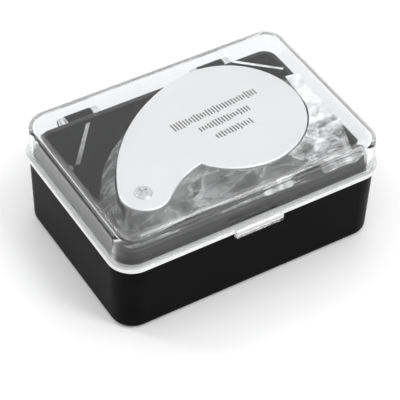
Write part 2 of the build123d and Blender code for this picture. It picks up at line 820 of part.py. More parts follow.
with BuildPart() as bag_bed:
    with BuildSketch(loupe_level(bag_bottom)):
        add(bag_outside)
        Polygon((0, 0), (-far, -far), (far, -far), (far, far), head_centre, align=None)
    extrude(amount=bag_shelf - bag_bottom)
    with BuildSketch(Plane.XY.offset(bag_bottom)):
        RectangleRounded(bag_length, bag_width, mouth_corner)
    extrude(amount=bag_shelf - bag_bottom, mode=Mode.INTERSECT)
finish(bag_bed, "bag_bed")

with BuildPart() as bag_wrap:
    with BuildSketch(loupe_level(loupe_bottom)):
        add(bag_outside)
        add(bag_nest, mode=Mode.SUBTRACT)
        Polygon(
            tail_centre,
            polar(tail_centre, far, bag_wrap_angles[0]),
            (-far, far),
            polar(tail_centre, far, bag_wrap_angles[1]),
            align=None,
            mode=Mode.INTERSECT,
        )
    extrude(amount=bag_wrap_top - loupe_bottom)
    with BuildSketch(Plane.XY.offset(loupe_bottom)):
        RectangleRounded(bag_length, bag_width, mouth_corner)
    extrude(amount=bag_wrap_top - loupe_bottom, mode=Mode.INTERSECT)
finish(bag_wrap, "bag_wrap")

with BuildPart() as bag_bunch:
    swung_head = polar((0, 0), head_reach, bag_swing_turn)
    with BuildSketch(loupe_level(loupe_bottom)):
        Polygon(head_centre, (head_reach, -far), (far, -far), (far, 0), align=None)
        with Locations(head_centre):
            Circle(head_radius + bag_swing_gap, mode=Mode.SUBTRACT)
        with Locations(swung_head):
            Circle(ring_radius + bag_swing_gap, mode=Mode.SUBTRACT)
    extrude(amount=bag_bunch_top - loupe_bottom)
    with BuildSketch(Plane.XY.offset(loupe_bottom)):
        RectangleRounded(bag_length, bag_width, mouth_corner)
    extrude(amount=bag_bunch_top - loupe_bottom, mode=Mode.INTERSECT)
finish(bag_bunch, "bag_bunch")
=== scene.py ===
# %% [markdown]
# # A folding pocket loupe, kept in its clear-lidded case
# A watchmaker's loupe of this kind is a comma-shaped metal cover with a lens that swings out of it. It is
# sold in a small black tray with a crystal-clear hinged lid, lying on the film bag it came in. The hard
# pieces come from the fixed frame, where each has its true size. This script gives them their finishes,
# and makes what a frame of solids can't show: the crumpled film, the fine marks on the cover, the light.

# %% The fixed frame
import math

import bmesh
import bpy
import numpy as np
from mathutils import Matrix, Vector
from mathutils.geometry import delaunay_2d_cdt


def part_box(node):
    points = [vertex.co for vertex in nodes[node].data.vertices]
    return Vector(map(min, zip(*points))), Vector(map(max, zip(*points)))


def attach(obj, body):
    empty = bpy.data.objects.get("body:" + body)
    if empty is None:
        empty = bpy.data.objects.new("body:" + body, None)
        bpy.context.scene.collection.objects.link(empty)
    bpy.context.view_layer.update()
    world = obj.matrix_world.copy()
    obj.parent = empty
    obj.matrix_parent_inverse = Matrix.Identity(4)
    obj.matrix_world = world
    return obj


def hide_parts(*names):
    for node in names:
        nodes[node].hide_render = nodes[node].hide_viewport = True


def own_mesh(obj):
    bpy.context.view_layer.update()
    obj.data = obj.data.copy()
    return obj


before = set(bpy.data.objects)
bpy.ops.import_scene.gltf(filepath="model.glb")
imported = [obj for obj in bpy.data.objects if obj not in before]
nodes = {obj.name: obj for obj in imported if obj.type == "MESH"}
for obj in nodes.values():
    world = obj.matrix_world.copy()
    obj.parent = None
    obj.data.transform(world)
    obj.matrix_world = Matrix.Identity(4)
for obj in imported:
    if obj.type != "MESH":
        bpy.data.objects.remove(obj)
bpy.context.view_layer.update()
MM = 0.001


def middle_of(node):
    low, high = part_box(node)
    return (low + high) / 2


def top_of(node):
    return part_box(node)[1].z


def add_to_scene(name, data):
    """A new object at the origin, made from a mesh, a camera or a lamp."""
    made = bpy.data.objects.new(name, data)
    bpy.context.scene.collection.objects.link(made)
    return made


# %% [markdown]
# ## The camera
# The case is seen from its front left corner, from well above and far away, as a product photographer
# sees it with a long lens. A long lens keeps the box's edges nearly parallel. Two angles say where the
# camera stands, and a small roll says how far it leans, which is easier to check than an Euler triple.

# %% Camera
AIM = Vector((0, 0, 12 * MM))
DISTANCE = 482.3 * MM
AZIMUTH = math.radians(-32.47)
ELEVATION = math.radians(43.92)
ROLL = math.radians(1.95)
FOCAL_LENGTH = 164.0
SENSOR_WIDTH = 36.0
SHIFT_ACROSS = -0.0014
SHIFT_UP = -0.0367
NEAREST_SEEN = 10 * MM

scene = bpy.context.scene
scene.view_settings.view_transform = "Standard"
back = Vector(
    (
        math.sin(AZIMUTH) * math.cos(ELEVATION),
        -math.cos(AZIMUTH) * math.cos(ELEVATION),
        math.sin(ELEVATION),
    )
)
long_lens = bpy.data.cameras.new("camera")
long_lens.lens = FOCAL_LENGTH
long_lens.sensor_width = SENSOR_WIDTH
long_lens.shift_x = SHIFT_ACROSS
long_lens.shift_y = SHIFT_UP
long_lens.clip_start = NEAREST_SEEN
camera = add_to_scene("camera", long_lens)
level_look = (-back).to_track_quat("-Z", "Y")
camera.rotation_mode = "QUATERNION"
camera.rotation_quaternion = level_look @ Matrix.Rotation(ROLL, 3, "Z").to_quaternion()
camera.location = AIM + back * DISTANCE
scene.camera = camera
print("camera stands at", [round(v, 3) for v in camera.location])

# %% [markdown]
# ## Writing node trees as sums
# A shader tree drawn by hand is a tangle of wires. Here a wire is a small object that can be added and
# multiplied, so a pattern reads like a formula, and every other node comes from one method.


# %% Wires and trees
class Wire:
    """A node's socket that takes part in sums."""

    def __init__(self, tree, socket):
        self.tree = tree
        self.socket = socket

    def sum(self, operation, first, second):
        return self.tree.node("ShaderNodeMath", {"operation": operation}, {0: first, 1: second})

    def __add__(self, other):
        return self.sum("ADD", self, other)

    def __mul__(self, other):
        return self.sum("MULTIPLY", self, other)

    __radd__ = __add__
    __rmul__ = __mul__


class Tree:
    """A node tree whose nodes come from one method."""

    def __init__(self, tree):
        self.tree = tree

    def node(self, kind, settings=None, inputs=None, output=0):
        made = self.tree.nodes.new(kind)
        for key, value in (settings or {}).items():
            if key == "stops":
                while len(made.color_ramp.elements) < len(value):
                    made.color_ramp.elements.new(1.0)
                for stop, (position, level) in zip(made.color_ramp.elements, value):
                    stop.position = position
                    stop.color = (level, level, level, 1)
            else:
                setattr(made, key, value)
        for key, value in (inputs or {}).items():
            if isinstance(value, Wire):
                self.tree.links.new(value.socket, made.inputs[key])
            else:
                made.inputs[key].default_value = value
        return Wire(self, made.outputs[output])


class Finish(Tree):
    """A material: a Principled shader, what is the same all over it, and the patterns that vary."""

    def __init__(self, name, fixed):
        self.material = bpy.data.materials.new(name)
        self.material.use_nodes = True
        super().__init__(self.material.node_tree)
        self.shader = self.tree.nodes["Principled BSDF"]
        self.end = self.tree.nodes["Material Output"].inputs["Surface"]
        for key, value in fixed.items():
            self.shader.inputs[key].default_value = value
        self.place = self.node("ShaderNodeTexCoord", output="Object")

    def paint(self, socket, wire):
        self.tree.links.new(wire.socket, self.shader.inputs[socket])

    def noise(self, size, detail=2.0, rough=0.5, stretch=(1, 1, 1)):
        """Cloudy noise whose patches are about this size, in metres."""
        scale = [1 / (size * s) for s in stretch]
        spread = self.node("ShaderNodeMapping", {}, {"Vector": self.place, "Scale": scale})
        clouds = {"Vector": spread, "Scale": 1.0, "Detail": detail, "Roughness": rough}
        return self.node("ShaderNodeTexNoise", {}, clouds)

    def ramp(self, value, *stops):
        """Grey levels at these (position, level) stops."""
        return self.node("ShaderNodeValToRGB", {"stops": stops}, {0: value})

    def along(self, axis):
        """The place along one axis of the object: 0, 1 or 2 for x, y or z."""
        return self.node("ShaderNodeSeparateXYZ", {}, {0: self.place}, axis)

    def bump(self, height, depth, strength=1.0):
        raised = {"Height": height, "Distance": depth, "Strength": strength}
        self.paint("Normal", self.node("ShaderNodeBump", {}, raised))


def dress(material, *names):
    """Give these frame nodes a finish."""
    for name in names:
        for slot in nodes[name].material_slots:
            slot.material = material
    print(material.name, "on", len(names), "pieces")


# %% [markdown]
# ## The black tray
# The tray is injection-moulded in black styrene. A mould's faces are never optically flat: the plastic
# has a very fine spark-eroded grain, and its sheen drifts a little from place to place. So the colour
# stays almost constant, two sizes of noise go to the roughness, and the finer one to a faint bump. The
# lip that stands up into the lid has a polished top, which catches the light as a clear coat would.

# %% Moulded black
POLISHED_ABOVE = 26.0 * MM
moulded = Finish("moulded_black", {"IOR": 1.5, "Specular IOR Level": 0.03, "Coat Roughness": 0.15})
drift = moulded.noise(9 * MM, 3)
grain = moulded.noise(0.22 * MM, 2)
height = moulded.along(2)
moulded.paint("Base Color", moulded.ramp(drift, (0.3, 0.002), (0.7, 0.0035)))
moulded.paint("Roughness", 0.3 + 0.1 * drift + 0.06 * grain)
moulded.paint("Coat Weight", 0.6 * height.sum("GREATER_THAN", height, POLISHED_ABOVE))
moulded.bump(grain, 0.004 * MM, 0.3)
dress(moulded.material, "case_base", "lamp_cover", "switch_housing", "switch_knob")

# %% [markdown]
# ## The clear lid
# The lid is crystal styrene with a real wall, so it is given to the renderer as a refracting solid. The
# bends then gather light and dark by themselves. Light on its way to the tray would be blocked by a
# refracting solid, so rays that only ask for light pass straight through.

# %% Crystal plastic
crystal = Finish(
    "crystal_lid",
    {"Transmission Weight": 1.0, "IOR": 1.4, "Base Color": (0.96, 0.965, 0.97, 1)},
)
haze = crystal.noise(6 * MM, 4)
crystal.paint("Roughness", crystal.ramp(haze, (0.4, 0.0), (0.8, 0.03)))
crystal.bump(crystal.noise(7 * MM, 1), 0.03 * MM, 0.25)

# %% [markdown]
# A clear plastic edge glows: light that entered elsewhere runs along inside the wall and comes out at
# the rim. Tracing that takes very many bounces, so the flange and the top's rounded edge are part white
# instead, a painted glow. Both are level all round the lid, so their place is found from the height alone.
# The flange's levels paint three bright lines with dark gaps between them, since each of its bends glows
# by itself.

# %% The bright edges, painted white
LID_HEIGHT = 11.4 * MM
FLANGE_HEIGHT = 1.3 * MM
FLANGE_MARGIN = 0.1 * MM
FLANGE_LEVELS = (
    (0.0, 0.0),
    (0.08, 1.0),
    (0.3, 1.0),
    (0.4, 0.0),
    (0.5, 0.95),
    (0.62, 0.95),
    (0.7, 0.1),
    (0.8, 0.8),
    (0.9, 0.0),
    (1.0, 0.0),
)
EDGE_HEIGHT = 1.4 * MM
EDGE_MARGIN = 0.06 * MM
EDGE_LEVELS = ((0.0, 0.0), (0.3, 0.0), (0.5, 0.3), (0.9, 0.2), (1.0, 0.0))
level = crystal.along(2)
lid_top = top_of("case_lid")
flange_bottom = lid_top - LID_HEIGHT


def painted_glow_between(bottom, top, levels):
    """Levels that follow the height from bottom to top, and keep their end levels past them."""
    share = crystal.node("ShaderNodeMapRange", {}, {0: level, 1: bottom, 2: top})
    return crystal.ramp(share, *levels)


flange_painted_glow = painted_glow_between(
    flange_bottom - FLANGE_MARGIN, flange_bottom + FLANGE_HEIGHT + FLANGE_MARGIN, FLANGE_LEVELS
)
edge_painted_glow = painted_glow_between(lid_top - EDGE_HEIGHT, lid_top - EDGE_MARGIN, EDGE_LEVELS)
# A white shader is mixed into the flange and the top edge. It is painted light that stands in for the glow
# of the lid's edges.
refracting = Wire(crystal, crystal.shader.outputs[0])
white = {"Base Color": (0.92, 0.92, 0.92, 1), "Roughness": 0.25}
painted_glow_shader = crystal.node("ShaderNodeBsdfPrincipled", {}, white)
rim_share = 0.8 * flange_painted_glow + edge_painted_glow * haze
rim = crystal.node("ShaderNodeMixShader", {}, {0: rim_share, 1: refracting, 2: painted_glow_shader})
shadow_ray = crystal.node("ShaderNodeLightPath", output="Is Shadow Ray")
clear = crystal.node("ShaderNodeBsdfTransparent", {}, {"Color": (0.95, 0.955, 0.96, 1)})
mixed = crystal.node("ShaderNodeMixShader", {}, {0: shadow_ray, 1: rim, 2: clear})
crystal.tree.links.new(mixed.socket, crystal.end)
dress(crystal.material, "case_lid")
print("lid flange from", round(flange_bottom, 4), "up, lid top at", round(lid_top, 4))

# %% [markdown]
# ## Metals
# The covers are plated brass with a satin, nearly white face. Satin plating is a mirror that has been
# blasted: high metallic, middling roughness, and a grain too fine to see except where it breaks up the
# reflections. Turned steel has a coarser grain, squeezed along the axis into the fine rings that a lathe
# tool leaves.

# %% Satin silver and steel
silver = Finish("satin_silver", {"Metallic": 0.75, "Specular IOR Level": 0.5})
soft = silver.noise(12 * MM, 2)
speckle = silver.noise(0.12 * MM, 1)
silver.paint("Base Color", silver.ramp(soft, (0.2, 0.87), (0.8, 0.9)))
silver.paint("Roughness", 0.36 + 0.06 * soft + 0.06 * speckle)
silver.bump(speckle, 0.004 * MM, 0.4)
dress(silver.material, "top_cover", "bottom_cover", "lens_holder", "battery_cap")

steel = Finish("turned_steel", {"Metallic": 1.0})
steel_grain = steel.noise(0.3 * MM, 2, stretch=(1, 1, 0.1))
steel.paint("Base Color", steel.ramp(steel_grain, (0.2, 0.62), (0.8, 0.8)))
steel.paint("Roughness", 0.24 + 0.14 * steel_grain)
dress(
    steel.material,
    "cover_screws",
    "pivot_post",
    "pivot_screw",
    "friction_washer",
    "battery_1",
    "battery_2",
    "battery_3",
)

# %% [markdown]
# ## Glass, brass, nylon and the rest
# The lenses and the two lamps are clear, with the faint sheen of a thin coating. The barrel's spacer
# and its ring are blackened so that they don't throw light into the lens. The rest sits out of sight
# under the covers: brass contacts, a green circuit board and a nylon washer, whose sheen is a little worn.

# %% Glass, brass, nylon and the rest
optical = Finish(
    "coated_lens",
    {
        "Transmission Weight": 1.0,
        "IOR": 1.52,
        "Coat Weight": 0.4,
        "Base Color": (0.97, 0.99, 1, 1),
    },
)
optical.paint("Roughness", optical.ramp(optical.noise(4 * MM, 2), (0.5, 0.0), (0.9, 0.02)))
dress(optical.material, "lower_lens", "upper_lens", "led_left", "led_right")

blackened = Finish("blackened_barrel", {"Metallic": 0.6})
blackened_grain = blackened.noise(0.2 * MM, 2)
blackened.paint("Base Color", blackened.ramp(blackened_grain, (0.2, 0.015), (0.8, 0.03)))
blackened.paint("Roughness", 0.4 + 0.15 * blackened_grain)
dress(blackened.material, "lens_spacer", "retaining_ring")

brass = Finish("contact_brass", {"Metallic": 1.0, "Base Color": (0.72, 0.52, 0.2, 1)})
brass.paint("Roughness", 0.25 + 0.2 * brass.noise(0.5 * MM, 3))
dress(brass.material, "positive_contact", "negative_contact")

mask = Finish("solder_mask", {"Base Color": (0.02, 0.12, 0.04, 1)})
mask.paint("Roughness", 0.35 + 0.2 * mask.noise(0.6 * MM, 2))
dress(mask.material, "led_board")

nylon = Finish("nylon", {"Base Color": (0.8, 0.79, 0.74, 1), "Subsurface Weight": 0.1})
nylon.paint("Roughness", 0.45 + 0.15 * nylon.noise(0.4 * MM, 2))
dress(nylon.material, "seat_washer")

# %% [markdown]
# ## Where the loupe lies
# Everything that follows is laid out from the frame. The pivot screw and the lens give the loupe's own
# axis, and the bottom cover's rim gives its comma outline, read from the mesh as one closed loop.


# %% The loupe's axis and outline
TOUCHING = 1e-6
SHARP_TURN = 0.5


def rim_edges(shape, height):
    """The edges at this height where a level face meets an upright one."""
    for edge in shape.edges:
        level_edge = all(abs(vertex.co.z - height) < TOUCHING for vertex in edge.verts)
        if level_edge and len(edge.link_faces) == 2:
            first, second = (abs(face.normal.z) for face in edge.link_faces)
            if abs(first - second) > SHARP_TURN:
                yield edge


def outline_of(node, height):
    """The longest closed rim that a node has at this height, as points in order."""
    shape = bmesh.new()
    shape.from_mesh(nodes[node].data)
    bmesh.ops.remove_doubles(shape, verts=shape.verts, dist=TOUCHING)
    joined = {}
    for edge in rim_edges(shape, height):
        first, second = edge.verts
        joined.setdefault(first, []).append(second)
        joined.setdefault(second, []).append(first)
    loops = []
    while joined:
        here = next(iter(joined))
        loop = [here]
        while ahead := [vertex for vertex in joined.pop(here) if vertex in joined]:
            here = ahead[0]
            loop.append(here)
        loops.append(np.array([vertex.co.xy[:] for vertex in loop]))
    shape.free()
    return max(loops, key=lambda loop: np.ptp(loop, axis=0).sum())


pivot = middle_of("pivot_screw")
lens_middle = middle_of("upper_lens")
axis = (lens_middle - pivot).xy.normalized()
outline = outline_of("bottom_cover", top_of("bottom_cover"))
print("loupe axis", [round(v, 3) for v in axis], "outline points", len(outline))


def gap_to(points, loop):
    """How far each point lies outside a closed outline; inside it the gap is negative."""
    ahead = np.roll(loop, -1, 0) - loop
    away = points[:, None, :] - loop[None]
    share = np.clip((away * ahead).sum(2) / (ahead**2).sum(1), 0, 1)
    gap = np.linalg.norm(away - share[..., None] * ahead, axis=2).min(1)
    low = loop[:, 1]
    high = low + ahead[:, 1]
    y = points[:, 1:2]
    crossed = (low > y) != (high > y)
    at_x = loop[:, 0] + (y - low) / np.where(high == low, 1, high - low) * ahead[:, 0]
    inside = (crossed & (points[:, 0:1] < at_x)).sum(1) % 2 == 1
    return np.where(inside, -gap, gap)


def loupe_gap(points):
    return gap_to(points, outline)


def behind_axis(points):
    """How far each point lies behind the loupe's own axis."""
    return (points - np.array(pivot.xy)) @ np.array([-axis.y, axis.x])


# %% [markdown]
# ## The crumpled film bag
# The loupe came in a thin film bag, and lies on it and in it. One layer of such film is nearly clear,
# and shows only where it is cloudy or creased. Where the bag is doubled up it turns milky white. So the
# finish is mostly see-through: noise gives the cloudy patches, and the borders of stretched cells give
# the creases. Towards the rear, where more layers lie on each other, all of it gets denser.


# %% The film's finish
CREASE_TURN = -0.5
CREASE_SIZES = (12 * MM, 3.2 * MM, 40 * MM)
PACKED_FROM = -14 * MM
PACKED_TO = -6 * MM


def film_finish(name, thin, thick, pale, dense):
    """Film that is clear between its milky patches and creases, and denser towards the rear."""
    made = Finish(name, {"IOR": 1.5, "Specular IOR Level": 0.6})
    milk = made.noise(4.2 * MM, 5, 0.72, stretch=(2.2, 1, 1))
    scale = [1 / size for size in CREASE_SIZES]
    turned = {"Vector": made.place, "Rotation": (0, 0, CREASE_TURN), "Scale": scale}
    cells = {"Vector": made.node("ShaderNodeMapping", {}, turned), "Scale": 1.0}
    edge = made.node("ShaderNodeTexVoronoi", {"feature": "DISTANCE_TO_EDGE"}, cells)
    crease = made.ramp(edge, (0.0, 1.0), (0.09, 0.0)) * milk
    facing = made.node("ShaderNodeLayerWeight", {}, {"Blend": 0.35}, "Facing")
    rearward = {0: made.along(1), 1: PACKED_FROM, 2: PACKED_TO, 3: 0.0, 4: dense}
    packed = made.node("ShaderNodeMapRange", {}, rearward)
    cloudy = made.ramp(milk, (0.4, thin), (0.6, thick))
    made.paint("Base Color", made.ramp(milk, (0.34, 0.5 * pale), (0.62, pale)))
    made.paint("Roughness", 0.12 + 0.2 * milk)
    made.paint("Alpha", cloudy + 0.5 * crease + 0.12 * facing + packed)
    return made


thin_film = film_finish("thin_film", thin=0.05, thick=0.32, pale=0.5, dense=0.2)
doubled_film = film_finish("doubled_film", thin=0.08, thick=0.6, pale=0.93, dense=0.85)
print("film finishes:", thin_film.material.name, doubled_film.material.name)

# %% [markdown]
# Film that has been squashed keeps flat facets that meet in straight, sharp creases, with small
# star-shaped corners. Cloth simulation gives round folds, which is wrong for film. Scattered points
# joined by Delaunay triangles give just these facets: each point gets the height of the bag there, plus
# a random lift. The facets are divided once more, with a much smaller lift, for the finer crackle.


# %% Making film
SCATTER = 0.45
EDGE_CLEARANCE = 1.4
CRACKLE = 0.07
OVERHANG = Vector((2 * MM, 2 * MM))
SAME_POINT = 1e-7
SHORTEST_SIDE = 1e-9
bed_low, bed_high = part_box("bag_bed")


def smooth(value, start, end):
    """Nought before the start, one past the end, and an easy curve between them."""
    share = np.clip((value - start) / (end - start), 0, 1)
    return share * share * (3 - 2 * share)


def beside(loop, gap, pitch):
    """Points along a closed outline, a gap outside it and about a pitch apart."""
    ahead = np.roll(loop, -1, 0) - loop
    turn = np.sign((loop[:, 0] * ahead[:, 1] - loop[:, 1] * ahead[:, 0]).sum())
    found = []
    for start, way in zip(loop, ahead):
        length = max(np.linalg.norm(way), SHORTEST_SIDE)
        out = turn * np.array([way[1], -way[0]]) / length
        for share in np.arange(0, 1, min(1.0, pitch / length)):
            found.append(start + share * way + gap * out)
    return np.array(found)


def scattered(pitch, chance, edge):
    """Points over the bag about a pitch apart; with an edge, a row of them follows the loupe."""
    low = bed_low.xy - OVERHANG
    high = bed_high.xy + OVERHANG
    x, y = np.meshgrid(np.arange(low.x, high.x, pitch), np.arange(low.y, high.y, pitch))
    points = np.stack([x.ravel(), y.ravel()], 1)
    points += chance.uniform(-SCATTER, SCATTER, points.shape) * pitch
    if edge is None:
        return points
    clear = loupe_gap(points) > EDGE_CLEARANCE * edge
    return np.concatenate([points[clear], beside(outline, edge, pitch)])


def crackle(mesh, pitch, chance):
    """Divide a sheet's facets once more, lift every corner a little, and turn all faces up."""
    shape = bmesh.new()
    shape.from_mesh(mesh)
    bmesh.ops.subdivide_edges(shape, edges=shape.edges, cuts=1, use_grid_fill=True)
    for vertex, lift in zip(shape.verts, chance.uniform(-1, 1, len(shape.verts))):
        vertex.co.z += CRACKLE * pitch * lift
    loose = [vertex for vertex in shape.verts if not vertex.link_faces]
    bmesh.ops.delete(shape, geom=loose, context="VERTS")
    for face in shape.faces:
        if face.normal.z < 0:
            face.normal_flip()
    shape.to_mesh(mesh)
    shape.free()


def area_of(mesh):
    return sum(face.area for face in mesh.polygons)


def film(name, finish, pitch, kept, height, crumple, seed, edge=None):
    """A sheet of crushed film over the part of the bag that is kept, at the height given there."""
    chance = np.random.default_rng(seed)
    points = scattered(pitch, chance, edge)
    points = [Vector(point) for point in points[kept(points)]]
    flat, _, faces, *_ = delaunay_2d_cdt(points, [], [], 0, SAME_POINT)
    flat = np.array([point[:] for point in flat])
    middles = np.array([flat[list(face)].mean(0) for face in faces])
    faces = [face for face, inside in zip(faces, kept(middles)) if inside]
    tops = height(flat) + crumple(flat) * chance.uniform(-1, 1, len(flat))
    mesh = bpy.data.meshes.new(name)
    mesh.from_pydata([(*point, top) for point, top in zip(flat, tops)], [], faces)
    crackle(mesh, pitch, chance)
    mesh.materials.append(finish.material)
    area = round(area_of(mesh) * 1e4, 1)
    highest = round(max(vertex.co.z for vertex in mesh.vertices), 4)
    print(name, len(mesh.polygons), "facets,", area, "square cm, up to", highest)
    return add_to_scene(name, mesh)


# %% [markdown]
# Each sheet is described by three rules: which part of the bag it keeps, how high it lies there, and how
# far its creases stray from that height. The sheet under the loupe is nearly flat, pressed by it.

# %% The bag under the loupe
BED_MARGIN = 0.2 * MM
BED_REACH = 1.5 * MM
BED_DROP = 0.3 * MM
BED_CRUMPLE = 0.15 * MM
bed_top = bed_high.z
bag_outline = np.array(
    [
        [bed_low.x, bed_low.y],
        [bed_high.x, bed_low.y],
        [bed_high.x, bed_high.y],
        [bed_low.x, bed_high.y],
    ]
)


def inside_bag(points, margin):
    return gap_to(points, bag_outline) < -margin


def same_everywhere(value):
    """A rule that gives one height, or one lift, all over a sheet."""
    return lambda points: np.full(len(points), value)


def bed_kept(points):
    return inside_bag(points, BED_MARGIN) & (loupe_gap(points) < BED_REACH)


bed = film(
    "film_bed",
    thin_film,
    pitch=2.0 * MM,
    kept=bed_kept,
    height=same_everywhere(bed_top - BED_DROP),
    crumple=same_everywhere(BED_CRUMPLE),
    seed=7,
)

# %% [markdown]
# The film round the loupe climbs nearly to the cover's edge on the near side, and droops towards the
# tray's wall and its near corner. Behind the loupe only a narrow strip is left, which falls off steeply.
# The bag gapes at the near corner, where the black tray shows through.

# %% The bag round the loupe
WRAP_MARGIN = 0.15 * MM
WRAP_GAP = 0.3 * MM
WRAP_REAR_END = 12 * MM
WRAP_REAR_REACH = 4.3 * MM
WRAP_BACK = 9 * MM
LEFT_END_X = -24 * MM
LEFT_END_Y = -14 * MM
ANY_REACH = 99 * MM
GAPE_X = -32.6 * MM
GAPE_Y = -20.2 * MM
GAPE_RADIUS = 3.0 * MM
FRONT_TOP = 29.6 * MM
FRONT_SLOPE = 0.45
FRONT_DROOP = 3.0 * MM
CORNER_DROOP = 6.0 * MM
REAR_TOP = 27.5 * MM
REAR_SLOPE = 1.1


def wrap_kept(points):
    x, y = points.T
    gap = loupe_gap(points)
    behind = (behind_axis(points) > 0) & (x < WRAP_REAR_END)
    left_end = (x < LEFT_END_X) & (y > LEFT_END_Y)
    narrow = WRAP_REAR_REACH * smooth(22 * MM - y, 0, 14 * MM)
    reach = np.where(behind | left_end, narrow, ANY_REACH)
    around = inside_bag(points, WRAP_MARGIN) & (gap > WRAP_GAP) & (gap < reach)
    gape = np.hypot(x - GAPE_X, y - GAPE_Y) < GAPE_RADIUS
    return around & ((y < WRAP_BACK) | behind) & ~gape


def wrap_height(points):
    x, y = points.T
    gap = loupe_gap(points)
    away = smooth(gap, 1 * MM, 6 * MM)
    front = FRONT_TOP - FRONT_SLOPE * gap - FRONT_DROOP * away * smooth(-y, 15.5 * MM, 22 * MM)
    front -= CORNER_DROOP * away * smooth(-x, 24 * MM, 32 * MM)
    rear = REAR_TOP - REAR_SLOPE * gap
    behind = smooth(behind_axis(points), -1 * MM, 3 * MM) * smooth(20 * MM - x, 0, 8 * MM)
    return front + behind * (rear - front)


def wrap_crumple(points):
    return 0.04 * MM + 0.6 * MM * smooth(loupe_gap(points), 0.4 * MM, 2.5 * MM)


wrap = film(
    "film_wrap",
    thin_film,
    pitch=1.5 * MM,
    kept=wrap_kept,
    height=wrap_height,
    crumple=wrap_crumple,
    seed=3,
    edge=0.34 * MM,
)

# %% [markdown]
# Beside the loupe's wide head the rest of the bag is bunched up, several layers deep, so this sheet
# takes the milky finish of doubled film. Its front is torn into shallow waves.

# %% The bag bunched beside the head
BUNCH_GAP = 0.4 * MM
BUNCH_LEFT = 9 * MM
BUNCH_BACK = 8.5 * MM
BUNCH_FRONT = -22.4 * MM
BUNCH_FRONT_SLANT = 0.22
BUNCH_TIP = 30 * MM
BUNCH_TOP = 29.9 * MM
BUNCH_RISE = 0.4 * MM
BUNCH_DROOP = 3.2 * MM


def waves(x, depth, length):
    """The ragged edge of torn film, as waves along x."""
    return depth * np.sin(x / length)


def bunch_kept(points):
    x, y = points.T
    slant = BUNCH_FRONT_SLANT * np.abs(BUNCH_TIP - x)
    front = BUNCH_FRONT + slant + waves(x, 1.2 * MM, 1.7 * MM)
    around = inside_bag(points, WRAP_MARGIN) & (loupe_gap(points) > BUNCH_GAP)
    return around & (x > BUNCH_LEFT) & (y < BUNCH_BACK) & (y > front)


def bunch_height(points):
    y = points[:, 1]
    rise = BUNCH_RISE * smooth(y, -12 * MM, 2 * MM)
    droop = BUNCH_DROOP * smooth(-y, 9 * MM, 21 * MM)
    return BUNCH_TOP + smooth(loupe_gap(points), 1 * MM, 5 * MM) * (rise - droop)


def bunch_crumple(points):
    return 0.08 * MM + 0.85 * MM * smooth(loupe_gap(points), 0.6 * MM, 3.5 * MM)


bunch = film(
    "film_bunch",
    doubled_film,
    pitch=1.7 * MM,
    kept=bunch_kept,
    height=bunch_height,
    crumple=bunch_crumple,
    seed=11,
    edge=0.4 * MM,
)

# %% [markdown]
# The bag's own edge is caught between the tray and the lid. It lies over the tray's lip in two places:
# a torn corner in front of the head, and a fold in front of the neck.

# %% The bag's edge, caught over the tray's lip
LIP_CLEARANCE = 0.15 * MM
FLAP_LIFT = 0.5 * MM
FLAP_CRUMPLE = 0.4 * MM
FLAP_REACH = 1.7 * MM
CORNER_LEFT = 21 * MM
CORNER_RIGHT = 35 * MM
CORNER_BACK = -20.6 * MM
FOLD_MIDDLE = 6.5 * MM
FOLD_HALF = 8 * MM
FOLD_BACK = -20 * MM
FOLD_PEAK = 12 * MM
FOLD_SLANT = 0.35
TORN_FROM = 30 * MM


def flap_kept(points):
    x, y = points.T
    torn = waves(x, 0.8 * MM, 1.3 * MM)
    corner = (x > CORNER_LEFT) & (x < CORNER_RIGHT) & (y < CORNER_BACK + torn)
    fold_back = FOLD_BACK - FOLD_SLANT * np.abs(x - FOLD_PEAK) + 0.4 * torn
    fold = (np.abs(x - FOLD_MIDDLE) < FOLD_HALF) & (y < fold_back)
    outer = bed_low.y - FLAP_REACH + 0.6 * torn * (x > TORN_FROM)
    return (corner | fold) & (y > outer)


flap = film(
    "film_flap",
    doubled_film,
    pitch=1.3 * MM,
    kept=flap_kept,
    height=same_everywhere(top_of("case_base") + LIP_CLEARANCE + FLAP_LIFT),
    crumple=same_everywhere(FLAP_CRUMPLE),
    seed=5,
)

# %% [markdown]
# Two narrow ends of the bag lie loose behind the loupe. One stands against the tray's rear wall, and the
# other lies across the rear right corner. Each is a ribbon, bowed a little along its middle.

# %% Loose ends of film
STRIP_STEPS = 14
STRIP_BOW = 0.12


def strip(name, finish, foot, tip, width):
    """A narrow ribbon from foot to tip, each a point and the way across the ribbon there."""
    rows = []
    for share in np.linspace(0, 1, STRIP_STEPS):
        place, side = ((1 - share) * np.array(a) + share * np.array(b) for a, b in zip(foot, tip))
        side = side / np.linalg.norm(side)
        bow = np.cross(side, (0, 0, 1)) * STRIP_BOW * width
        rows.append([place - side * width / 2, place + bow, place + side * width / 2])
    quads = [
        (3 * row + column, 3 * row + column + 1, 3 * row + column + 4, 3 * row + column + 3)
        for row in range(len(rows) - 1)
        for column in range(2)
    ]
    mesh = bpy.data.meshes.new(name)
    mesh.from_pydata([tuple(point) for row in rows for point in row], [], quads)
    mesh.materials.append(finish.material)
    print(name, len(quads), "faces")
    return add_to_scene(name, mesh)


tail_foot = (bed_low.x + 9.6 * MM, bed_high.y - 0.6 * MM, 12.5 * MM)
tail_tip = (tail_foot[0] + 3.6 * MM, bed_high.y - 0.3 * MM, 25.6 * MM)
tail = strip(
    "film_tail",
    doubled_film,
    foot=(tail_foot, (1, -0.4, 0)),
    tip=(tail_tip, (1, 0.1, 0)),
    width=1.3 * MM,
)

strand_foot = (bed_high.x - 11 * MM, bed_high.y + 0.4 * MM, 27.4 * MM)
strand_tip = (bed_high.x - 0.4 * MM, bed_high.y - 8.5 * MM, 27.0 * MM)
strand = strip(
    "film_strand",
    doubled_film,
    foot=(strand_foot, (0.5, 0.8, 0)),
    tip=(strand_tip, (0.8, 0.6, 0)),
    width=0.9 * MM,
)
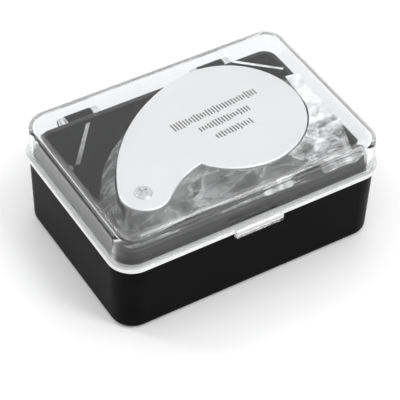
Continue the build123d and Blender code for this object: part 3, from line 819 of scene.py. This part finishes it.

# %% [markdown]
# The film belongs to the case: it stays in the tray when the loupe is lifted out. Each sheet's flat size
# is its own crumpled area laid out on its width.

# %% How the film is held
for piece in (bed, wrap, bunch, flap, tail, strand):
    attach(piece, "case")
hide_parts("bag_bed")
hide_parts("bag_wrap")
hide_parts("bag_bunch")
for piece, held, rests_on, others in (
    (bed, "laid", ["case_base"], ()),
    (wrap, "gathered", [bed], (tail,)),
    (bunch, "gathered", [bed], (flap, strand)),
):
    area = area_of(piece.data)
    across = piece.dimensions.x
    area / across
    print(piece.name, "laid out flat:", round(across, 4), "by", round(area / across, 4))
for piece in (wrap, bunch):
    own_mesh(piece)

# %% [markdown]
# ## Marks on the cover
# The cover carries three short rows of engraved marks. They are made as graduations, fine upright bars
# like those of a rule, each row shorter than the last. Geometry Nodes repeat one bar along a line: the
# count, pitch and size are named inputs, and a seeded random share makes the bars uneven in height.


# %% Repeating with Geometry Nodes
class Pattern(Tree):
    """A Geometry Nodes tree with named sizes, which ends as a plain mesh."""

    def __init__(self, name):
        super().__init__(bpy.data.node_groups.new(name, "GeometryNodeTree"))
        self.tree.interface.new_socket("Shape", in_out="OUTPUT", socket_type="NodeSocketGeometry")
        self.source = self.tree.nodes.new("NodeGroupInput")
        self.sizes = {}

    def size(self, name, value, kind="NodeSocketFloat"):
        item = self.tree.interface.new_socket(name, in_out="INPUT", socket_type=kind)
        self.sizes[item.identifier] = value
        return Wire(self, self.source.outputs[name])

    def mesh(self, shape, material):
        solid = self.node("GeometryNodeRealizeInstances", {}, {0: shape})
        painted = self.node("GeometryNodeSetMaterial", {}, {"Geometry": solid, "Material": material})
        end = self.tree.nodes.new("NodeGroupOutput")
        self.tree.links.new(painted.socket, end.inputs[0])
        carrier = add_to_scene(self.tree.name, bpy.data.meshes.new(self.tree.name))
        modifier = carrier.modifiers.new("pattern", "NODES")
        modifier.node_group = self.tree
        for identifier, value in self.sizes.items():
            modifier[identifier] = value
        seen = carrier.evaluated_get(bpy.context.evaluated_depsgraph_get())
        made = bpy.data.meshes.new_from_object(seen)
        bpy.data.objects.remove(carrier)
        return made


def put(mesh, name, place, body):
    """Set a finished mesh in the frame and let it ride on a body."""
    mesh.transform(place)
    made = add_to_scene(name, mesh)
    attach(made, body)
    print(name, len(mesh.polygons), "faces")


# %% Three rows of graduations
MARK_PITCH = 0.9 * MM
MARK_WIDTH = 0.38 * MM
MARK_RISE = 0.02 * MM
MARK_TURN = math.radians(4.5)
SHORTEST_MARK = 0.45
etched = Finish("etched_mark", {"Metallic": 0.3, "Base Color": (0.06, 0.06, 0.06, 1)})
etched.paint("Roughness", 0.5 + 0.2 * etched.noise(0.3 * MM, 2))
# Each row's middle along x and y, its length, and its tallest mark.
mark_rows = {
    "marks_long": (8.05 * MM, 6.3 * MM, 27.4 * MM, 3.0 * MM),
    "marks_middle": (8.4 * MM, 1.95 * MM, 16.3 * MM, 2.6 * MM),
    "marks_short": (8.75 * MM, -2.45 * MM, 12.0 * MM, 2.6 * MM),
}
marks_height = top_of("top_cover") + MARK_RISE / 2
for seed, (name, (x, y, length, tall)) in enumerate(mark_rows.items()):
    marks = Pattern(name)
    pitch = marks.size("Pitch", MARK_PITCH)
    count = marks.size("Count", int(length / MARK_PITCH), "NodeSocketInt")
    width = marks.size("Width", MARK_WIDTH)
    height = marks.size("Height", tall)
    step = marks.node("ShaderNodeCombineXYZ", {}, {0: pitch})
    line = marks.node("GeometryNodeMeshLine", {}, {"Count": count, "Offset": step})
    block = marks.node("ShaderNodeCombineXYZ", {}, {0: width, 1: height, 2: MARK_RISE})
    bar = marks.node("GeometryNodeMeshCube", {}, {"Size": block})
    spread = {"Min": SHORTEST_MARK, "Max": 1.0, "Seed": seed}
    short = marks.node("FunctionNodeRandomValue", {"data_type": "FLOAT"}, spread, 1)
    scale = marks.node("ShaderNodeCombineXYZ", {}, {0: 1.0, 1: short, 2: 1.0})
    bars = {"Points": line, "Instance": bar, "Scale": scale}
    row = marks.mesh(marks.node("GeometryNodeInstanceOnPoints", {}, bars), etched.material)
    row.transform(Matrix.Translation((-length / 2, 0, 0)))
    spot = Matrix.Translation((x, y, marks_height)) @ Matrix.Rotation(MARK_TURN, 4, "Z")
    put(row, name, spot, "covers")

# %% [markdown]
# ## Floor, world and lights
# The case stands on a nearly white sweep in a bright room, so its shadow is soft and pale. A tall
# softbox in front, to the right, draws the sheen on the plated cover. A small one behind, to the left,
# lights the lid's edges from the other side.

# %% Floor, world and lights
FLOOR_HALF = 1.5
FLOOR_HEIGHT = -0.1 * MM
floor_finish = Finish("pale_floor", {"Roughness": 0.55, "Specular IOR Level": 0.3})
patches = floor_finish.noise(80 * MM, 2)
floor_finish.paint("Base Color", floor_finish.ramp(patches, (0.2, 0.92), (0.8, 0.94)))
corners = [
    (x * FLOOR_HALF, y * FLOOR_HALF, FLOOR_HEIGHT) for x, y in ((-1, -1), (1, -1), (1, 1), (-1, 1))
]
floor_mesh = bpy.data.meshes.new("floor")
floor_mesh.from_pydata(corners, [], [(0, 1, 2, 3)])
floor_mesh.materials.append(floor_finish.material)
floor = add_to_scene("floor", floor_mesh)

world = bpy.data.worlds.new("studio")
scene.world = world
world.use_nodes = True
sky = world.node_tree.nodes["Background"]
sky.inputs["Color"].default_value = (1, 1, 1, 1)
sky.inputs["Strength"].default_value = 1.0


def softbox(name, place, size, power):
    """A rectangular area light that faces the case; its size is in metres and its power in watts."""
    lamp = bpy.data.lights.new(name, "AREA")
    lamp.shape = "RECTANGLE"
    lamp.size, lamp.size_y = size
    lamp.energy = power
    made = add_to_scene(name, lamp)
    made.location = place
    made.rotation_mode = "QUATERNION"
    made.rotation_quaternion = (AIM - Vector(place)).to_track_quat("-Z", "Y")


softbox("front_strip", place=(0.27, -0.5, 0.66), size=(0.22, 0.4), power=2.0)
softbox("back_left", place=(-0.42, 0.45, 0.6), size=(0.12, 0.12), power=0.8)
print("lit by the world and", len(bpy.data.lights), "softboxes")
